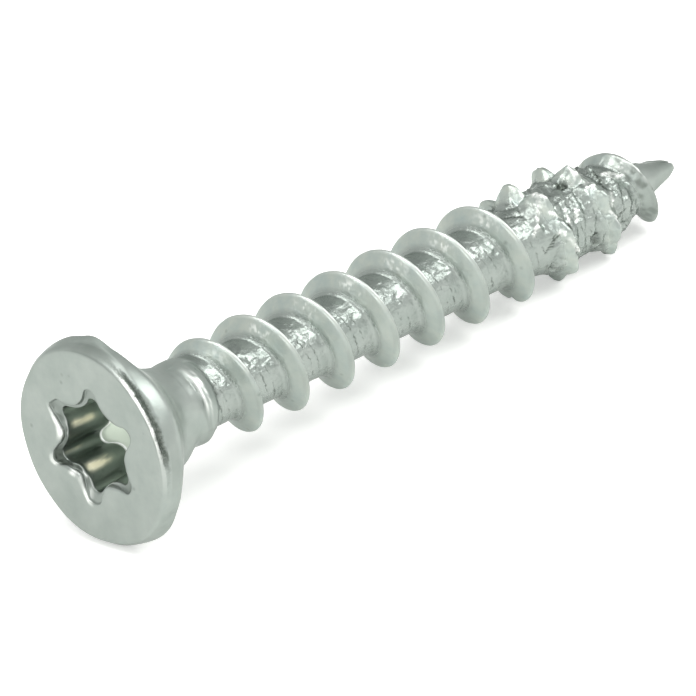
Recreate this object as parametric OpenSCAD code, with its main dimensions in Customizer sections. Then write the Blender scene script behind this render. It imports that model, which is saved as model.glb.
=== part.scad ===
// Countersunk wood screw with a coarse right-hand thread, lying on its side.
// Built along X: flat head face at x = 0, point at x = screw_l, then tipped and rolled
// into the pose it rests in, with the head rim and one thread crest on z = 0.

/* [Head] */
// Flat head face to the end of the point
screw_l = 34.8; // [30:0.1:45]
// Widest diameter of the head, at the back of the rim
head_d = 9.54; // [8:0.02:11]
// Diameter of the flat face, inside the soft edge
face_d = 8.84; // [7:0.02:10]
// Depth of the soft edge round the face
edge_w = 0.33; // [0.05:0.01:0.5]
// Radius of the hollow sweep from the cone into the neck
flare_r = 2.9; // [1:0.1:6]
// Diameter of the plain neck
neck_d = 3.94; // [3:0.02:5]
// Where the hollow sweep reaches the neck
neck_x = 4.85; // [4:0.05:6]
// Where the turned neck ends inside the blank of the thread
neck_end = 4.9; // [4.85:0.05:6]
// Diameter of the unrolled blank, in front of the first turn
blank_d = 4.0; // [3:0.02:5]

/* [Drive recess] */
// Six-lobe recess, across the lobes
drive_a = 4.5; // [3:0.05:6]
// Six-lobe recess, across the flutes
drive_b = 3.2; // [2:0.05:5]
// Round at the end of each lobe
drive_re = 0.37; // [0.1:0.01:0.8]
// Depth of the lobe walls
drive_depth = 2.24; // [1:0.02:3]
// Depth of the point of the hollow floor
drive_point = 3.2; // [2:0.05:4]
// Wider shallow step at the mouth, across its lobes
step_a = 5.6; // [4.5:0.05:7]
// Wider shallow step, across its flutes
step_b = 4.06; // [3.4:0.02:5]
// Round at the end of each step lobe
step_re = 0.42; // [0.1:0.01:0.8]
// Depth of the step
step_depth = 0.2; // [0.05:0.01:0.8]
// Turn of the lobes about the axis
drive_turn = 35.5; // [0:0.5:60]

/* [Thread] */
// Diameter over the thread crests
thread_d = 4.98; // [4:0.02:6]
// Diameter of the core between the turns
root_d = 3.13; // [2:0.01:4]
// Advance of one turn
pitch = 2.694; // [1:0.001:4]
// Crest of turn 0 at the reference angle, measured along X
crest_x0 = 1.492; // [0:0.001:3]
// Width of the crest
crest_w = 0.08; // [0.02:0.01:0.4]
// Crest to the lower third of the flank, towards the head
foot_front = 0.48; // [0.1:0.01:0.8]
// Crest to the lower third of the flank, towards the point
foot_back = 0.27; // [0.1:0.01:0.8]
// Crest to the full shoulder of the flank, towards the head
shoulder = 0.19; // [0.05:0.01:0.4]
// Run of the hollow foot between flank and core
foot_run = 0.2; // [0.02:0.01:0.4]
// First turn of the rolled thread
turn_first = 1.1; // [0.5:0.1:3]
// Number of turns
turns = 11; // [6:1:14]

/* [Saw-tooth turns] */
// Teeth in one turn
teeth_per_turn = 7.5; // [6:0.5:12]
// Turn at which one full notch is deepest
notch_phase = 8.9667; // [8:0.0001:10]
// Turn where the notches start
teeth_start = 8.5; // [7:0.01:10]
// Turn where the notches end
teeth_end = 10.6; // [9:0.01:11.5]
// Mean depth of a notch below the crest
notch_depth = 0.42; // [0.1:0.01:0.9]
// How much the notches differ in depth
notch_vary = 0.2; // [0:0.01:0.4]
// Diameter of the core under the teeth
tooth_core_d = 3.6; // [2:0.01:4]
// Height of the slanting pleats in the core between the teeth
pleat = 0.17; // [0:0.01:0.3]

/* [Point] */
// Diameter at the end of the point, before its round
tip_d = 0.4; // [0.1:0.01:1]
// Length of the round at the end of the point
tip_round = 0.14; // [0.05:0.01:0.6]
// How far the point leans off the axis
tip_off = 0.11; // [0:0.01:0.3]
// Slight bow of the shank towards the same side
bow = 0.04; // [0:0.01:0.2]

/* [Rest pose] */
// Tip of the axis below the level
lie_tilt = 4.871; // [0:0.001:12]
// Roll about the axis
lie_roll = 60; // [-180:0.5:180]
// Lift of the axis origin above the floor
lie_lift = 4.8205; // [3:0.0005:6]
// Distance from the head face to the middle of the lying length
lie_mid = 17.146; // [14:0.001:23]

/* [Hidden] */
$fn = 96;
cols = 60;
root_r = root_d / 2;
blank_r = blank_d / 2;

// ramps from 0 to 1 between a and b, straight and eased
function lin(x, a, b) = max(0, min(1, (x - a) / (b - a)));
function ease(x, a, b) = let (k = lin(x, a, b)) k * k * (3 - 2 * k);

// value at x on a broken line of [x, y] points
function along(pts, x, i = 0) =
  x <= pts[0][0] ? pts[0][1]
  : i >= len(pts) - 1 ? pts[len(pts) - 1][1]
  : x < pts[i + 1][0]
    ? pts[i][1] + (pts[i + 1][1] - pts[i][1]) * (x - pts[i][0]) / (pts[i + 1][0] - pts[i][0])
    : along(pts, x, i + 1);

// crest position along X after t turns
function crest_x(t) = crest_x0 + pitch * t;

// core radius of the finished thread at x: plain, thicker under the teeth, then the point
core_line = [
  [24.4, root_r], [25.3, 1.66], [26.2, 1.82], [27.2, tooth_core_d / 2],
  [29.2, 1.77], [30.4, 1.58], [31.5, 1.3], [32.3, 0.98], [33.2, 0.68],
  [33.87, 0.475], [34.4, 0.32], [screw_l - tip_round, tip_d / 2]];
// the groove behind the crest of turn g runs in from the blank: at a distance s behind the
// crest the blank ends in an edge, and slopes down to the core
function core_r(x, g, s) = let (
  edge = 0.42 - 0.72 * ease(g, 1.35, 2),
  slope = 0.85 - 0.6 * ease(g, 1.22, 1.55),
  k = ease(g, 1, 1.22) * lin(s, edge, edge + slope))
  blank_r * (1 - k) + along(core_line, x) * k;

// crest radius at turn t, without notches
crest_line = [
  [1, blank_r], [1.1, 2.05], [1.4, 2.07], [1.55, 2.12], [1.75, 2.26], [2, 2.41], [2.5, 2.45],
  [3, thread_d / 2], [9.97, thread_d / 2], [10.1, 2.43], [10.5, 2.36], [10.75, 2.2], [10.92, 2.04],
  [11.02, 1.93], [11.2, 1.9], [11.5, 1.85], [11.62, 1.78], [11.74, 1.4], [11.84, 1], [11.92, 0.8],
  [12, 0.56], [12.1, 0.44]];
// depth of the notch nearest to turn t, and its share: 1 in the notch, 0 on a tooth
function notch(t) = let (
  f = (t - notch_phase) * teeth_per_turn,
  n = round(f),
  depth = (notch_depth + notch_vary * cos(45 * n)) * lin(t, 8.4, 9.3))
  t < teeth_start || t > teeth_end ? 0 : depth * (1 - lin(abs(f - n), 0, 0.42));
function crest_r(t) = along(crest_line, t) - notch(t);

// share of the toothed stretch in turn t, and height of the pleats of the core inside it:
// they slant so that they meet the notches of the next turn
function toothed(t) = ease(t, 8.5, 8.9) * (1 - ease(t, 10.6, 11));
function pleat_h(t, s) = let (f = (t + 0.6 / pitch * s - notch_phase) * teeth_per_turn)
  pleat * toothed(t) * (2 * abs(f - round(f)) - 0.5);

// rows of one pitch: [offset from the crest along X, share of the crest height]
row_set = [
  [-foot_front - foot_run, 0.01], [-foot_front, 0.31], [-shoulder, 0.93], [-crest_w / 2, 1],
  [crest_w / 2, 1], [foot_back, 0.31], [foot_back + foot_run, 0.02], [pitch / 2, 0]];
rows = len(row_set);

// the shank bows a little to one side, comes back, and its point leans to that side again
function point(t, x, r) = let (
  a = 360 * t,
  lean = ease(x, 33, 35) * tip_off)
  [x, r * cos(a) - lean - bow * ease(x, 6, 24) * (1 - ease(x, 30, 33)), r * sin(a) + lean * 0.3];

// vertex of column c and row m
function vertex(c, m) = let (
  k = floor(m / rows),
  q = row_set[m - k * rows],
  t = turn_first + c / cols + k,
  x = crest_x(t) + q[0],
  core = pleat_h(t, q[0]) + (q[0] > 0 ? core_r(x, t, q[0]) : core_r(x, t - 1, q[0] + pitch)),
  foot = 0.4 * toothed(t) * max(0, 1 - abs(q[0]) / 0.9),
  share = max(foot, pow(q[1], 1 - 0.6 * ease(t, 11.6, 11.9))))
  point(t, x, core + share * max(0, crest_r(t) - core));

last = (turns - 1) * rows + 6;
col_n = last + 1;
lead = 3;
tail = 3;
lead_x = 3.62;

// plain rows in front of the first turn and behind the last one
function lead_vertex(c, k) = let (
  t = turn_first + c / cols,
  x1 = crest_x(t) + row_set[0][0],
  x = lead_x * (1 - k / lead) + x1 * k / lead)
  point(t, x, core_r(x, t - 1, x - crest_x(t - 1)));
function tail_vertex(c, k) = let (
  t = turn_first + c / cols,
  x0 = crest_x(t + turns - 1) + row_set[6][0],
  x = x0 + (screw_l - tip_round - x0) * k / tail)
  point(t, x, along(core_line, x));

// each column in order: lead rows, thread rows, tail rows
column_n = lead + col_n + tail;
thread_pts = [
  for (c = [0:cols - 1]) for (k = [0:column_n - 1])
    k < lead ? lead_vertex(c, k)
    : k < lead + col_n ? vertex(c, k - lead)
    : tail_vertex(c, k - lead - col_n + 1)];
n_pts = cols * column_n;
function id(c, k) = c * column_n + k;
function run(c, a, b) = [for (k = [a:b]) id(c, k)];

// triangles between two chains of vertices that both run along X
function zip(a, b, i = 0, j = 0) =
  let (na = len(a) - 1, nb = len(b) - 1)
  i == na && j == nb ? []
  : j == nb || (i < na && (i + 1) * nb <= (j + 1) * na)
    ? concat([[a[i], a[i + 1], b[j]]], zip(a, b, i + 1, j))
    : concat([[a[i], b[j + 1], b[j]]], zip(a, b, i, j + 1));

// the last column meets the first one turn further on
side_faces = [for (c = [0:cols - 2]) for (k = [0:column_n - 2])
  each [[id(c, k), id(c, k + 1), id(c + 1, k)], [id(c, k + 1), id(c + 1, k + 1), id(c + 1, k)]]];
far = lead + last;
seam_faces = concat(
  zip(run(cols - 1, 0, lead), run(0, 0, lead + rows)),
  [for (k = [lead:far - rows - 1]) each [
    [id(cols - 1, k), id(cols - 1, k + 1), id(0, k + rows)],
    [id(cols - 1, k + 1), id(0, k + rows + 1), id(0, k + rows)]]],
  zip(run(cols - 1, far - rows, far + tail), run(0, far, far + tail)));
end_faces = [for (c = [0:cols - 1]) let (d = (c + 1) % cols) each [
  [n_pts, id(c, 0), id(d, 0)],
  [n_pts + 1, id(d, column_n - 1), id(c, column_n - 1)]]];

module shank() {
  polyhedron(
    points = concat(thread_pts, [[lead_x - 0.1, 0, 0], [screw_l, -tip_off, tip_off * 0.3]]),
    faces = concat(side_faces, seam_faces, end_faces),
    convexity = 20);
}

// turned outline of the head: face, soft edge, tapered rim, 90 degree cone, hollow sweep, neck
neck_r = neck_d / 2;
sweep_r = neck_r + flare_r * (1 - cos(45));
sweep_x = neck_x - flare_r * sin(45);
rim_x = sweep_x - head_d / 2 + sweep_r;
edge_h = head_d / 2 - 0.095 - face_d / 2;
module head_outline() {
  difference() {
    polygon(concat(
      [[0, 0]],
      [for (a = [0:15:90]) [face_d / 2 + edge_h * sin(a), edge_w * (1 - cos(a))]],
      [[head_d / 2 - 0.04, rim_x - 0.28], [head_d / 2, rim_x - 0.05], [head_d / 2 - 0.005, rim_x],
       [head_d / 2 - 0.05, rim_x + 0.05], [sweep_r, sweep_x], [neck_r, neck_x],
       [neck_r, neck_end], [0, neck_end]]));
    translate([neck_r + flare_r, neck_x]) circle(r = flare_r, $fn = 180);
  }
}

// six-lobe outline: lobe circles joined by flute circles that touch them
function flute_radius(a, b, re) = let (p = a / 2 - re, q = b / 2)
  (re * re - p * p - q * q + sqrt(3) * p * q) / (2 * q - sqrt(3) * p - 2 * re);
module six_lobe(a, b, re) {
  ri = flute_radius(a, b, re);
  p = a / 2 - re;
  q = b / 2 + ri;
  touch = [for (s = [-1, 1]) let (
    d = [q * cos(30) - p, s * q * sin(30)])
    [p, 0] + d * re / norm(d)];
  difference() {
    union() {
      polygon([for (k = [0:5]) each [for (v = touch)
        [v[0] * cos(60 * k) - v[1] * sin(60 * k), v[0] * sin(60 * k) + v[1] * cos(60 * k)]]]);
      for (k = [0:5]) rotate(60 * k) translate([p, 0]) circle(r = re, $fn = 48);
    }
    for (k = [0:5]) rotate(60 * k + 30) translate([q, 0]) circle(r = ri, $fn = 96);
  }
}
// deep lobes with a hollow point below them, and the shallow step around the mouth
module recess() {
  rotate([0, 90, 0]) rotate([0, 0, drive_turn + 90]) {
    translate([0, 0, -0.1]) linear_extrude(height = drive_depth + 0.1)
      six_lobe(drive_a, drive_b, drive_re);
    translate([0, 0, drive_depth - 0.05])
      cylinder(h = drive_point - drive_depth + 0.05, r1 = drive_b / 2 - 0.04, r2 = 0);
    translate([0, 0, -0.1]) linear_extrude(height = step_depth + 0.1)
      six_lobe(step_a, step_b, step_re);
  }
}

module screw() {
  color([0.69, 0.72, 0.69])
  translate([-lie_mid, 0, lie_lift]) rotate([0, lie_tilt, 0]) rotate([lie_roll, 0, 0])
  difference() {
    union() {
      rotate([0, 90, 0]) rotate_extrude($fn = 144) head_outline();
      shank();
    }
    recess();
  }
}

screw();
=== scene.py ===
from itertools import product
from math import atan2, cos, pi, radians, sin, sqrt

import bpy
import numpy as np
from mathutils import Matrix, Vector


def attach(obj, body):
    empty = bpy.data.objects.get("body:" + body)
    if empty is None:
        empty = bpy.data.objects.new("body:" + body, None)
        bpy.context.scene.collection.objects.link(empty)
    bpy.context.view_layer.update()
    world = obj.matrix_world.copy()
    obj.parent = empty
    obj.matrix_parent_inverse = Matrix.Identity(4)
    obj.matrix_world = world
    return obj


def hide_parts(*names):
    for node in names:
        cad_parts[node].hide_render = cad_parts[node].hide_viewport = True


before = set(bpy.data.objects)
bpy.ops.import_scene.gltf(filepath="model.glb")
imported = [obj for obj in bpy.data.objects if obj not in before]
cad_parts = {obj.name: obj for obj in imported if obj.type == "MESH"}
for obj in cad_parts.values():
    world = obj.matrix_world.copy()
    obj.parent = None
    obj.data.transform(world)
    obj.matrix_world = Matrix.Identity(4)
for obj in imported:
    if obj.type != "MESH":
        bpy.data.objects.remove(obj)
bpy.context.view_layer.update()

# Sizes of the screw in millimetres. The axis runs along X from the head's face at 0 to the
# point, and an angle of 0 is the side that shows uppermost.
MM = 0.001
LENGTH = 34.8
FACE_R = 4.42  # flat part of the face
EDGE_R = 4.6  # rounded edge of the face
PARTING_X = 0.235  # parting line round the rim
FLARE_R = 2.9  # hollow sweep from the cone into the neck
FLARE_REACH = 2.2  # greatest length of the sweep along the axis
NECK_R = 1.97
NECK_X = 4.85  # where the sweep ends
NECK_STEP = 4.7, 5.1  # where the neck widens to the blank
BLANK_R = 2.0
BLANK_END = 5.8  # where the die has pressed the blank down

# The deep star of the drive, its drafted top and the worn step at its mouth: across the lobes,
# across the flutes, and the round at a lobe's end
DRIVE_ACROSS, DRIVE_FLUTES, DRIVE_LOBE_R = 4.5, 3.2, 0.37
DRAFTED_ACROSS, DRAFTED_FLUTES, DRAFTED_LOBE_R = 4.56, 3.56, 0.39
MOUTH_ACROSS, MOUTH_FLUTES, MOUTH_LOBE_R = 5.6, 4.06, 0.42
DRIVE_TURN = radians(35.5)
FLOOR_POINT = 3.45  # depth of the floor's point
FLOOR_AT_LOBES = 2.24  # depth of the floor at the lobe ends
FLOOR_FILLET = 0.11
WALL_HEIGHT = 2.2  # from the floor's fillet to the step
LEDGE_DEPTH = 0.08  # depth of the step at its lobe ends
LEDGE_SLOPE = 0.2

THREAD_R = 2.49
ROOT_R = 1.565
PITCH = 2.694
CREST_X0 = 1.492  # place of the crest of turn 0
FIRST_TURN = 1.1  # turn at which the grid starts
TURNS = 11  # turns of the grid
TEETH_PER_TURN = 7.5
NOTCH_PHASE = 8.9667  # turn at which one notch is deepest
FIRST_TOOTH, LAST_TOOTH = 8.5, 10.6
PLEAT_SLANT = 0.2227  # turns that a pleat runs round in a millimetre
TIP_R = 0.2  # where the rounded tip starts
TIP_ROUND = 0.14  # length of the rounded tip
TIP_OFF = 0.03  # lean of the tip to one side
BOW = 0.04  # bow of the shank to one side

# The resting pose: tilt and roll of the axis, lift and shift of its origin
TILT = radians(4.871)
ROLL = radians(60)
LIFT = 4.8205
MID = 17.146

# The grid of the skin: columns round the axis, and rows of its plain stretches
COLS = 192
HEAD_END_X = 3.2
LEAD_ROWS = 5
TAIL_ROWS = 10

# What each mark of the skin says where nothing sets it. The first three are the drive's floor,
# painted paler to lift the shade in the recess, its walls, and a highlight painted in streaks down
# its flutes. Then come highlights painted on edges, ridges, crests and torn planes, the flanks' own
# tint painted paler to lift the shade between the turns, and pits with painted shade. crease is the
# distance in millimetres from the folds that crease_on and parting draw, painted dark as shade,
# torn is crumpled and dull is satin.
PLAIN = {"recess": 0.0, "walls": 0.0, "streak": 0.0, "edge": 0.0, "flank": 0.0, "pit": 0.0, "crease": 0.6,
         "crease_on": 0.0, "parting": 0.0, "torn": 0.0, "dull": 0.0}


# Small functions of whole arrays
def ramp(x, a, b):
    """0 before a, 1 after b, straight between."""
    return np.clip((x - a) / (b - a), 0.0, 1.0)


def ease(x, a, b):
    """0 before a, 1 after b, with a soft start and end: 3k^2 - 2k^3."""
    k = ramp(x, a, b)
    return k * k * (3 - 2 * k)


def span(x, a, b, c, d):
    """0 before a, 1 from b to c, 0 after d, eased between."""
    return ease(x, a, b) * (1 - ease(x, c, d))


def hill(x, middle, half):
    """1 at the middle, 0 at half a width away, a cosine between."""
    return 0.5 + 0.5 * np.cos(pi * np.clip((x - middle) / half, -1, 1))


def degrees_from(angle, middle):
    """Degrees from the middle to an angle in radians, the short way round."""
    return (np.degrees(angle) - middle + 180) % 360 - 180


def around(angle, middle, half):
    """A hill on a circle: 1 where the angle in degrees is the middle, 0 half a width away."""
    return hill(degrees_from(angle, middle), 0, half)


def hills(angle, table):
    """The sum of hills on a circle: middle and half width in degrees, and height."""
    return sum(height * around(angle, middle, half) for middle, half, height in table)


def rounded_line(points, blur):
    """A broken line through points, its corners rounded by a running mean over blur, weighted
    as a cosine bell. Returns a function of x."""
    half = 6
    px, py = np.array(points, float).T
    x = np.arange(px[0] - blur, px[-1] + blur, blur / (2 * half))
    bell = np.hanning(2 * half + 3)[1:-1]
    padded = np.pad(np.interp(x, px, py), half, mode="edge")
    y = np.convolve(padded, bell / bell.sum(), mode="valid")
    return lambda q: np.interp(q, x, y)


def hashed(i, seed):
    """A scrambled value from -1 to 1 for each whole-numbered grid place i: its parts times large
    primes, and the high bits folded down on the low ones."""
    h = (i[..., 0] * 73856093) ^ (i[..., 1] * 19349663) ^ (i[..., 2] * 83492791) ^ (seed * 7919)
    h = (h ^ (h >> 13)) * 1274126177
    return ((h ^ (h >> 16)) & 0xFFFF) / 32767.5 - 1


def grain(p, cell, seed):
    """Soft noise from -1 to 1 at points p: a hashed value at each corner of a cubic
    grid of this cell, blended along each axis with 3f^2 - 2f^3."""
    q = p / cell
    low = np.floor(q).astype(np.int64)
    f = q - low
    f = f * f * (3 - 2 * f)
    total = np.zeros(p.shape[:-1])
    for corner in product((0, 1), repeat=3):
        total += hashed(low + np.array(corner), seed) * np.prod(np.where(corner, f, 1 - f), axis=-1)
    return total


def facets(p, cell, seed):
    """Small random planes, as on torn metal. Each point takes the plane of the nearest of a
    set of jittered grid places c: value = tilt . (p - c), the tilt from -1 to 1 on each axis."""
    q = p / cell
    low = np.floor(q).astype(np.int64)
    best, value = np.full(p.shape[:-1], 9.0), np.zeros(p.shape[:-1])
    for corner in product((-1, 0, 1), repeat=3):
        i = low + np.array(corner)
        away = q - i - 0.5 - 0.42 * np.stack([hashed(i, seed + k) for k in range(3)], axis=-1)
        near = (away ** 2).sum(axis=-1)
        tilt = np.stack([hashed(i, seed + k) for k in (3, 4, 5)], axis=-1)
        value = np.where(near < best, (tilt * away).sum(axis=-1), value)
        best = np.minimum(near, best)
    return value * cell


def creased(p, cell, seed):
    """Crumpled noise: 2|n| + |m| - 0.62 of a coarse grain n and a fine one m, so that its
    valleys are sharp creases."""
    return 2 * np.abs(grain(p, cell, seed)) + np.abs(grain(p, cell * 0.47, seed + 1)) - 0.62


def blot(angle, x, middle, at_x, half_angle, half_x):
    """A soft spot on the skin: 1 - a^2 - q^2, with a and q the distances from its middle round
    and along the axis as shares of its half widths."""
    a, q = degrees_from(angle, middle) / half_angle, (x - at_x) / half_x
    return np.clip(1 - a ** 2 - q ** 2, 0, 1)


def strokes(angle, x, table):
    """Windows (1 - a^2)(1 - q^2) along short slanting strokes on the skin, the greatest of them,
    full from 0.4 of a window on."""
    best = np.zeros(np.broadcast(angle, x).shape)
    for middle, at_x, half_angle, slant, half_x in table:
        a = degrees_from(angle, middle) / half_angle
        q = (x - at_x - slant * a) / half_x
        best = np.maximum(best, ramp(np.clip(1 - a * a, 0, 1) * np.clip(1 - q * q, 0, 1), 0, 0.4))
    return best


# The rolled thread: core, crest and notches as functions of x and of the turn
core_line = rounded_line([
    (20, ROOT_R), (24.4, ROOT_R), (25.3, 1.66), (26.2, 1.82), (27.2, 1.8), (29.2, 1.77), (30.4, 1.58),
    (31.5, 1.3), (32.3, 0.99), (33.2, 0.715), (33.87, 0.51), (34.4, 0.35), (34.66, TIP_R)], 0.3)
crest_line = rounded_line([
    (1.0, BLANK_R), (1.1, 2.0), (1.4, 2.01), (1.55, 2.08), (1.75, 2.26), (2, 2.41), (2.5, 2.45),
    (3, THREAD_R), (9.97, THREAD_R), (10.1, 2.43), (10.5, 2.36), (10.75, 2.2), (10.92, 2.04),
    (11.02, 1.94), (11.2, 1.9), (11.5, 1.85), (11.57, 1.75), (11.65, 1.55), (11.74, 1.3),
    (11.83, 1.04), (11.92, 0.8), (12.0, 0.58), (12.1, 0.46)], 0.05)
# Share of the crest height against the offset from the crest along the axis
flank_line = rounded_line([
    (-0.95, 0), (-0.66, 0.01), (-0.59, 0.04), (-0.53, 0.13), (-0.46, 0.33), (-0.13, 0.925),
    (-0.07, 0.975), (-0.02, 1), (0.03, 1), (0.07, 0.93), (0.12, 0.77), (0.26, 0.38), (0.35, 0.12),
    (0.5, 0.03), (0.66, 0)], 0.04)


def crest_x(t):
    """Place of the crest along the axis after t turns."""
    return CREST_X0 + PITCH * t


def neck_profile(x):
    """Radius of the unrolled neck: the hollow sweep of radius FLARE_R, then the plain blank."""
    fall = np.minimum(np.maximum(NECK_X - x, 0), FLARE_REACH)
    flare = NECK_R + FLARE_R - np.sqrt(FLARE_R ** 2 - fall ** 2)
    return flare + (BLANK_R - NECK_R) * ease(x, *NECK_STEP)


def core_radius(x, g, s):
    """Radius between the turns, a distance s behind the crest of turn g. The blank narrows a
    little and stops in an edge at BLANK_END, where the groove starts. From turn 1.5 on the
    groove starts in an edge that closes up to the crest."""
    late = ease(g, 1.42, 1.6)
    edge = (BLANK_END - crest_x(g)) * (1 - late) + (0.42 - 0.72 * ease(g, 1.35, 2.0)) * late
    k = ease(g, 1.0, 1.22) * ramp(s, edge, edge + 0.26)
    return (neck_profile(x) - 0.12 * ramp(x, 5.38, BLANK_END)) * (1 - k) + core_line(x) * k


def notch(t):
    """Depth of the V notch nearest to turn t. The notches differ in depth by a cosine of their
    number n and grow over the first teeth."""
    f = (t - NOTCH_PHASE) * TEETH_PER_TURN
    n = np.round(f)
    depth = (0.42 + 0.2 * np.cos(radians(45) * n)) * ramp(t, FIRST_TOOTH - 0.2, FIRST_TOOTH + 0.7)
    inside = (t > FIRST_TOOTH) & (t < LAST_TOOTH)
    return np.where(inside, depth * (1 - ramp(np.abs(f - n), 0, 0.42)), 0)


def tooth_relief(t, s):
    """Facets of the core between the saw teeth: slanting pleats, deepest in line with the
    notches, 2|f - round f| - 0.5 with f the count of notches passed."""
    f = (t + PLEAT_SLANT * s - NOTCH_PHASE) * TEETH_PER_TURN
    pleats = 2 * np.abs(f - np.round(f)) - 0.5
    return pleats * span(t, FIRST_TOOTH, FIRST_TOOTH + 0.4, LAST_TOOTH, LAST_TOOTH + 0.4)


def on_axis(angle, x, r):
    """Point at an angle and a radius round the axis. The shank bows a little to one side,
    comes back, and its point leans to that side again."""
    lean = ease(x, 33, 35) * TIP_OFF
    bow = BOW * span(x, 6, 24, 30, 33)
    return np.stack([x + 0 * angle, r * np.cos(angle) - lean - bow, r * np.sin(angle) + 0.3 * lean], axis=-1)


# How the forged head departs from a turned one. A bump has its middle and half width round the
# axis in degrees, its middle and half length along the axis, and its height: a swelling at the
# back of the rim, a flat beside it, a fuller sweep underneath and above, two low swellings and
# a nick in the rim.
HEAD_BUMPS = [
    (31, 13, 0.95, 0.75, 0.17), (50, 28, 1.7, 1.2, -0.2), (168, 60, 3.75, 1.1, 0.27), (4, 45, 3.9, 0.5, 0.08),
    (14, 24, 0.9, 0.7, 0.07), (166, 22, 0.9, 0.7, 0.07), (151, 4, 0.7, 0.3, -0.08)]


def uneven_head(angle, x):
    """How far the head and neck stand out from a turned one: the bumps, small dents up to the
    thread, and an end of the neck that is a little higher on top and lower underneath."""
    skin = np.stack(np.broadcast_arrays(x, 2.6 * np.cos(angle), 2.6 * np.sin(angle)), axis=-1)
    dents = 0.012 * grain(skin, 0.34, 19) * span(x, 1.2, 1.7, 5.9, 6.5)
    bumps = sum(height * around(angle, middle, half) * hill(x, at_x, half_x)
                for middle, half, at_x, half_x, height in HEAD_BUMPS)
    above = 0.02 * around(angle, 0, 50) * span(x, *NECK_STEP, 5.4, 6.0)
    below = 0.05 * around(angle, 180, 60) * span(x, *NECK_STEP, 6.0, 6.6)
    return dents + bumps + above - below


# The head in rings, from the middle of the recess floor out over the rim. A flat outline has a
# point a column, given by its two coordinates across the axis.
column = np.arange(COLS)
column_angle = 2 * pi * (FIRST_TURN + column / COLS)
circle = np.stack([np.cos(column_angle), np.sin(column_angle)], axis=-1)

# Stretches round the rim: the near side with its bevel, and above it a softer edge, where the
# rim is duller and painted with shade
near_side = np.minimum(1, 1.25 * around(column_angle, 92, 54))
soft_side = around(column_angle, 38, 40)
upper_side = around(column_angle, 30, 42)
upper_painted_shade = around(column_angle, 36, 24)

# Hills round the axis, as shares of the radius or in millimetres: the worn mouth, the walls,
# which open to the mouth on one side, and the outline of the face, which is not quite round
WORN_MOUTH = (
    (5, 26, -0.03), (65, 26, 0.03), (93, 22, 0.03), (155, 20, -0.03), (187, 26, -0.1), (229, 14, 0.1),
    (250, 16, -0.03), (275, 20, 0.05), (302, 16, -0.03), (325, 14, 0.12))
WORN_WALLS = ((95, 34, 0.2), (245, 24, 0.05), (275, 28, 0.07), (305, 24, 0.05))
FACE_BENDS = ((270, 36, 0.05), (304, 22, 0.06), (236, 22, 0.06), (338, 20, -0.06), (203, 20, -0.06))
# Where highlights are painted on the bevel of the mouth
BEVEL_HIGHLIGHTS = ((314, 17, 1), (301, 9, 0.6), (275, 7, 1), (253, 7, 1), (239, 9, 0.7), (227, 10, 1))
face_out = hills(column_angle, FACE_BENDS)

# Edge of the face as (x, radius), on the far side a soft round, on the near side a bevel, a
# shallow groove and the parting line
FAR_EDGE = [
    (0.012, 4.47), (0.03, 4.52), (0.06, 4.555), (0.10, 4.585), (0.15, 4.61), (0.19, 4.628), (0.22, 4.64),
    (0.245, 4.648), (0.27, 4.655), (0.3, 4.665), (0.33, 4.675)]
NEAR_EDGE = [
    (0.01, 4.40), (0.035, 4.44), (0.07, 4.475), (0.105, 4.497), (0.14, 4.505), (0.17, 4.50), (0.195, 4.50),
    (0.22, 4.525), (0.24, 4.59), (0.265, 4.67), (0.3, 4.722)]
# The rim as (x, radius), on the far side up to where the cone starts, on the near side with
# the start of the cone, which is fuller there
FAR_RIM = [
    (0.4, 4.69), (0.48, 4.71), (0.57, 4.73), (0.66, 4.747), (0.74, 4.762), (0.80, 4.77), (0.85, 4.765),
    (0.90, 4.73)]
NEAR_RIM = [
    (0.50, 4.745), (0.58, 4.752), (0.67, 4.76), (0.76, 4.768), (0.86, 4.774), (0.96, 4.778),
    (1.05, 4.779), (1.13, 4.771), (1.21, 4.749), (1.29, 4.704), (1.38, 4.635), (1.49, 4.532),
    (1.61, 4.407), (1.75, 4.249), (1.9, 4.066), (2.06, 3.86), (2.23, 3.63), (2.42, 3.37), (2.6, 3.115)]


def six_lobe(across, flutes, lobe_r):
    """Outline of a six-lobe drive: lobe circles on six rays, joined by flute circles that
    touch both neighbours. One point a column, evenly spaced along each twelfth."""
    p, half = across / 2 - lobe_r, flutes / 2
    ray = sqrt(3) * p
    flute_r = (lobe_r ** 2 - p * p - half * half + ray * half) / (2 * half - ray - 2 * lobe_r)
    centre = (half + flute_r) * np.array([cos(pi / 6), sin(pi / 6)])
    lobe_turn = atan2(centre[1], centre[0] - p)
    lobe_arc, flute_arc = lobe_r * lobe_turn, flute_r * (lobe_turn - pi / 6)
    sixth = COLS // 6
    s = (column % sixth) / sixth
    along = (1 - np.abs(1 - 2 * s)) * (lobe_arc + flute_arc)
    phi = along / lobe_r
    psi = pi + lobe_turn - (along - lobe_arc) / flute_r
    on_lobe = along < lobe_arc
    a = np.where(on_lobe, p + lobe_r * np.cos(phi), centre[0] + flute_r * np.cos(psi))
    b = np.where(on_lobe, lobe_r * np.sin(phi), centre[1] + flute_r * np.sin(psi))
    b *= np.where(s <= 0.5, 1, -1)
    turn = DRIVE_TURN + (column // sixth + (s > 0.5)) * pi / 3
    return np.stack([a * np.cos(turn) - b * np.sin(turn), a * np.sin(turn) + b * np.cos(turn)], axis=-1)


def size(flat):
    """Distance of an outline's points from the axis."""
    return np.hypot(flat[:, 0], flat[:, 1])


def way(flat):
    """Angle of an outline's points round the axis."""
    return np.arctan2(flat[:, 1], flat[:, 0])


def inset(flat, by):
    """An outline drawn in towards the axis."""
    return flat * (1 - by / size(flat))[:, None]


def with_third(flat, value):
    """Points for a grain: an outline's two coordinates and a third, one for all or one each."""
    return np.concatenate([flat, (value + np.zeros(COLS))[:, None]], axis=1)


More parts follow.
